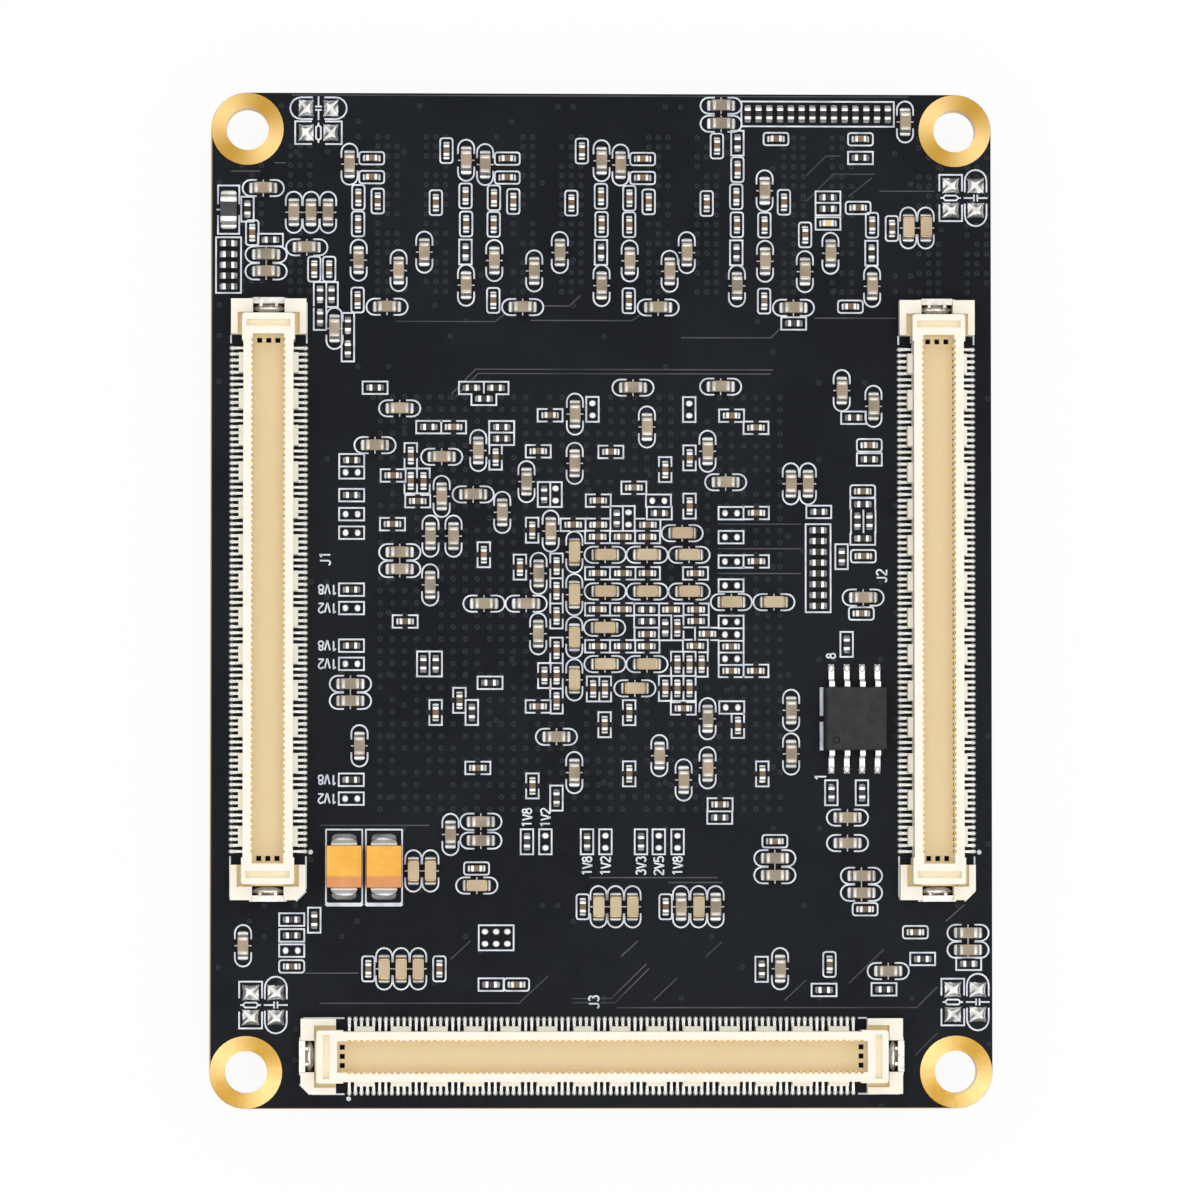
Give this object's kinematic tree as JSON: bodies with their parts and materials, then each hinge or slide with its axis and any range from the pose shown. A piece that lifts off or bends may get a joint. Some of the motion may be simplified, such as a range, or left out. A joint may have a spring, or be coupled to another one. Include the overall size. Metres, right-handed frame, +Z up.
{
  "type": "system on module",
  "caption": "Black circuit board module with gold-ringed mounting holes, cream mezzanine connectors along its edges, many small soldered chip parts and a lidded processor underneath",
  "frame": {"origin": "middle of the board in X and Y, on the face of the processor lid that the module rests on", "axes": "+Z up, out of the connector side; +Y along the longer edge, away from the lower connector; +X across the width, towards the right connector"},
  "size_m": [0.0644, 0.0838, 0.0085],
  "materials": {
    "board_mask": "black solder mask, satin gloss",
    "gold_plating": "gold plated, bright",
    "connector_plastic": "moulded cream polymer, matte",
    "contact_metal": "gold and tin plated",
    "hold_down_metal": "tin plated, satin",
    "grey_tan_ceramic": "fired ceramic, satin",
    "tan_ceramic": "fired ceramic, satin",
    "brown_ceramic": "fired ceramic, satin",
    "black_ceramic": "black glaze over ceramic",
    "pale_ceramic": "pale gold ceramic",
    "ferrite": "dark ferrite",
    "chip_ends": "tin plated and soldered, satin",
    "orange_resin": "moulded resin",
    "mould_compound": "black mould compound, matte",
    "solder": "reflowed solder",
    "substrate_laminate": "green laminate",
    "nickel_lid": "nickel plated, satin",
    "clock_ceramic": "dark ceramic"
  },
  "bodies": {
    "root": {"board": "board_mask", "mounting_hole_plating": "gold_plating", "left_connector_housing": "connector_plastic", "left_connector_contacts": "contact_metal", "left_connector_hold_downs": "hold_down_metal", "right_connector_housing": "connector_plastic", "right_connector_contacts": "contact_metal", "right_connector_hold_downs": "hold_down_metal", "lower_connector_housing": "connector_plastic", "lower_connector_contacts": "contact_metal", "lower_connector_hold_downs": "hold_down_metal", "capacitors_0603": "grey_tan_ceramic", "capacitor_0603_ends": "chip_ends", "bulk_capacitors": "tan_ceramic", "bulk_capacitor_ends": "chip_ends", "memory_capacitors": "brown_ceramic", "memory_capacitor_ends": "chip_ends", "processor_capacitors": "brown_ceramic", "processor_capacitor_ends": "chip_ends", "resistors": "black_ceramic", "resistor_ends": "chip_ends", "resistor_rows": "black_ceramic", "resistor_row_ends": "chip_ends", "chip_inductor": "pale_ceramic", "chip_inductor_ends": "chip_ends", "ferrite_bead": "ferrite", "ferrite_bead_ends": "chip_ends", "tantalum_capacitors": "orange_resin", "tantalum_ends": "chip_ends", "flash_chip": "mould_compound", "flash_chip_leads": "chip_ends", "bare_pads_0402": "solder", "bare_pads_0805": "solder", "processor_substrate": "substrate_laminate", "processor_lid": "nickel_lid", "processor_solder_balls": "solder", "memory_chips": "mould_compound", "memory_solder_balls": "solder", "power_modules": "mould_compound", "power_module_lands": "solder", "clock_oscillator": "clock_ceramic", "clock_oscillator_lid": "nickel_lid", "clock_oscillator_lands": "solder"}
  },
  "joints": []
}
